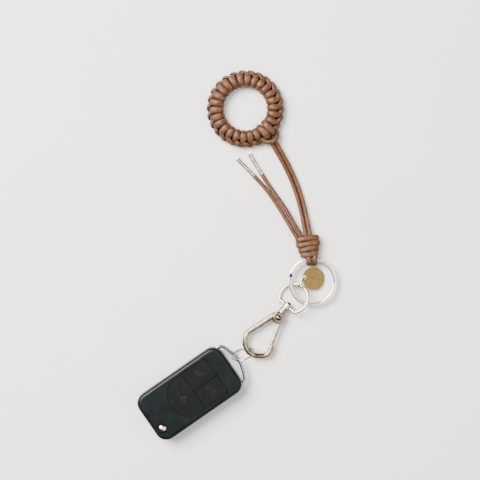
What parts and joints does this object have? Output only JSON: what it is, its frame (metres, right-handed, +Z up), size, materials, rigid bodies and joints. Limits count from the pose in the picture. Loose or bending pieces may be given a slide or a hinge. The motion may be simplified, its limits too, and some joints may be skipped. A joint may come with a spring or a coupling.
{
  "type": "wristlet keychain",
  "caption": "Wristlet keychain: cord-hitched finger loop on a knotted leather lanyard with a split ring, tag, swivel hook and a flip-key fob.",
  "frame": {"origin": "under the middle of the outline (free cords left out), on the surface that the keychain lies on", "axes": "+Z up from the surface, +Y towards the finger loop, +X to the right seen from above"},
  "size_m": [0.1432, 0.2657, 0.016],
  "materials": {
    "leather_cord": "semi-matt round leather cord",
    "ring_steel": "plain steel",
    "nickel_plate": "bright nickel plate",
    "pale_gold_plate": "pale gold plate, polished",
    "cap_plate": "polished plate",
    "tag_brass": "satin brass, blank",
    "spring_steel": "bare spring steel",
    "fob_plastic": "fine-textured plastic",
    "button_rubber": "soft matt rubber",
    "bail_plate": "dark bright plate",
    "release_plate": "polished plate",
    "blade_steel": "ground key steel",
    "hub_alloy": "die-cast hub",
    "circuit_board": "coated glass fibre board",
    "cell_steel": "cell can",
    "chip_glass": "moulded chip"
  },
  "bodies": {
    "lanyard": {"standing_cord_left": "leather_cord", "standing_cord_right": "leather_cord", "tail_cord_left": "leather_cord", "tail_cord_right": "leather_cord", "tail_cap_left": "cap_plate", "tail_cap_right": "cap_plate", "ring_eye_left": "leather_cord", "ring_eye_right": "leather_cord", "gathering_knot": "leather_cord"},
    "finger_loop": {"core_ring": "ring_steel", "braid_cover": "leather_cord", "lanyard_hitch": "leather_cord"},
    "split_ring": {"split_ring": "nickel_plate"},
    "swivel_ring": {"swivel_ring": "pale_gold_plate"},
    "tag_link": {"tag_jump_ring": "pale_gold_plate"},
    "tag": {"tag_disc": "tag_brass"},
    "hook": {"hook_body": "pale_gold_plate", "swivel_stud": "pale_gold_plate", "gate_rivet": "pale_gold_plate"},
    "gate": {"hook_gate": "pale_gold_plate", "gate_spring": "spring_steel"},
    "fob_link": {"fob_link_ring": "nickel_plate"},
    "fob": {"fob_upper_shell": "fob_plastic", "fob_lower_shell": "fob_plastic", "fob_bail": "bail_plate", "fob_battery_cover": "fob_plastic", "fob_key_pivot_pin": "ring_steel", "fob_screw": "ring_steel", "fob_battery": "cell_steel", "fob_circuit_board": "circuit_board", "fob_transponder": "chip_glass", "fob_key_spring": "spring_steel", "fob_button_web": "button_rubber"},
    "fob_button_large": {"fob_button_large": "button_rubber"},
    "fob_button_top": {"fob_button_top": "button_rubber"},
    "fob_button_right": {"fob_button_right": "button_rubber"},
    "fob_release": {"fob_release_button": "release_plate"},
    "fob_key": {"fob_key_hub": "hub_alloy", "fob_key_blade": "blade_steel", "fob_roll_pin": "ring_steel"}
  },
  "joints": [
    {"name": "loop_swing", "type": "hinge", "parent": "lanyard", "child": "finger_loop", "pos_m": [0.0242, 0.0834, 0.0049], "axis": [0, 0, 1], "range_deg": [-18, 8]},
    {"name": "split_ring_turn", "type": "hinge", "parent": "lanyard", "child": "split_ring", "pos_m": [0.05408, -0.02013, 0.0049], "axis": [0, 0, 1], "range_deg": [-14, 14]},
    {"name": "swivel_ring_slide", "type": "hinge", "parent": "split_ring", "child": "swivel_ring", "pos_m": [0.05408, -0.02013, 0.0049], "axis": [0, 0, 1], "range_deg": [-10, 10]},
    {"name": "tag_link_swing", "type": "hinge", "parent": "swivel_ring", "child": "tag_link", "pos_m": [0.04442, -0.02218, 0.00377], "axis": [0.8962, -0.3284, 0.2984], "range_deg": [0, 15]},
    {"name": "tag_lift", "type": "hinge", "parent": "tag_link", "child": "tag", "pos_m": [0.0484, -0.0168, 0.0059], "axis": [0, -1, 0], "range_deg": [0, 30]},
    {"name": "hook_swivel", "type": "hinge", "parent": "swivel_ring", "child": "hook", "pos_m": [0.0405, -0.03185, 0.0049], "axis": [-0.6561, -0.7547, 0], "continuous": true},
    {"name": "gate_open", "type": "hinge", "parent": "hook", "child": "gate", "pos_m": [0.0294, -0.0458, 0.0049], "axis": [0, 0, -1], "range_deg": [0, 24], "stiffness_Nm_per_rad": 0.006, "springref_deg": -17.19},
    {"name": "fob_link_swing", "type": "hinge", "parent": "hook", "child": "fob_link", "pos_m": [0.0076, -0.0694, 0.0049], "axis": [0, 0, 1], "range_deg": [-8, 8]},
    {"name": "fob_swing", "type": "hinge", "parent": "fob_link", "child": "fob", "pos_m": [-0.0015, -0.0734, 0.0077], "axis": [0, 0, 1], "range_deg": [-10, 10]},
    {"name": "button_large_press", "type": "slide", "parent": "fob", "child": "fob_button_large", "axis": [0, 0, -1], "range_m": [0, 0.0005], "stiffness_N_per_m": 150, "springref_m": -0.001},
    {"name": "button_top_press", "type": "slide", "parent": "fob", "child": "fob_button_top", "axis": [0, 0, -1], "range_m": [0, 0.0005], "stiffness_N_per_m": 150, "springref_m": -0.001},
    {"name": "button_right_press", "type": "slide", "parent": "fob", "child": "fob_button_right", "axis": [0, 0, -1], "range_m": [0, 0.0005], "stiffness_N_per_m": 150, "springref_m": -0.001},
    {"name": "release_press", "type": "slide", "parent": "fob", "child": "fob_release", "axis": [0, 0, -1], "range_m": [0, 0.0015], "stiffness_N_per_m": 120, "springref_m": -0.001},
    {"name": "key_flip", "type": "hinge", "parent": "fob", "child": "fob_key", "pos_m": [-0.05373, -0.12444, 0.0078], "axis": [0, 0, -1], "range_deg": [0, 180]}
  ]
}
